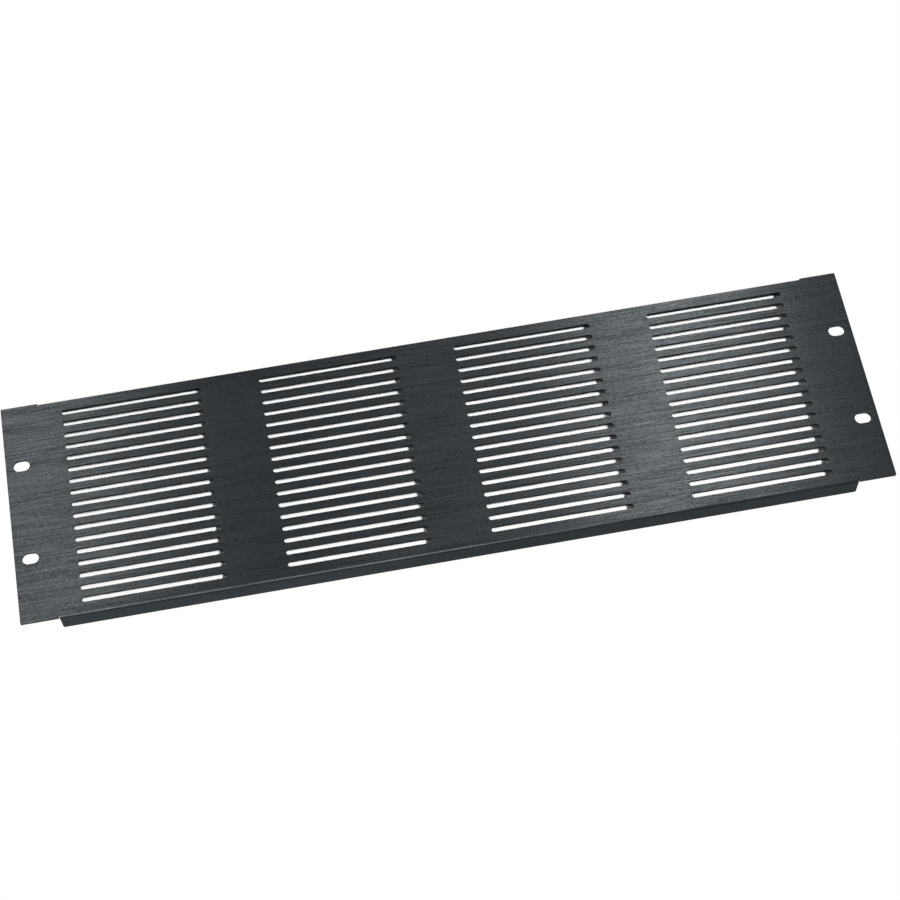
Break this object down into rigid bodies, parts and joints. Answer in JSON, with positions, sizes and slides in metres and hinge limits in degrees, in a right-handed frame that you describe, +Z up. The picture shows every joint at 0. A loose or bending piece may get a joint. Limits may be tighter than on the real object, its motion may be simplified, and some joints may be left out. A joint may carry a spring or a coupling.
{
  "type": "vented rack blanking panel",
  "caption": "Folded sheet panel that fills three units of a 19-inch rack: long round-ended vent slots in groups, flat slotted ears and flanges folded back along top and bottom.",
  "frame": {"origin": "centre of the four rack slots, on the plane at the back of the ears, where they meet the rack rails", "axes": "+X along the panel's length, +Z up, +Y back into the rack, so the front face looks along -Y"},
  "size_m": [0.4826, 0.0135, 0.1324],
  "materials": {
    "black_anodised_aluminium": "brushed along the panel's length, then anodised black, satin"
  },
  "bodies": {
    "root": {"vent_panel": "black_anodised_aluminium"}
  },
  "joints": []
}
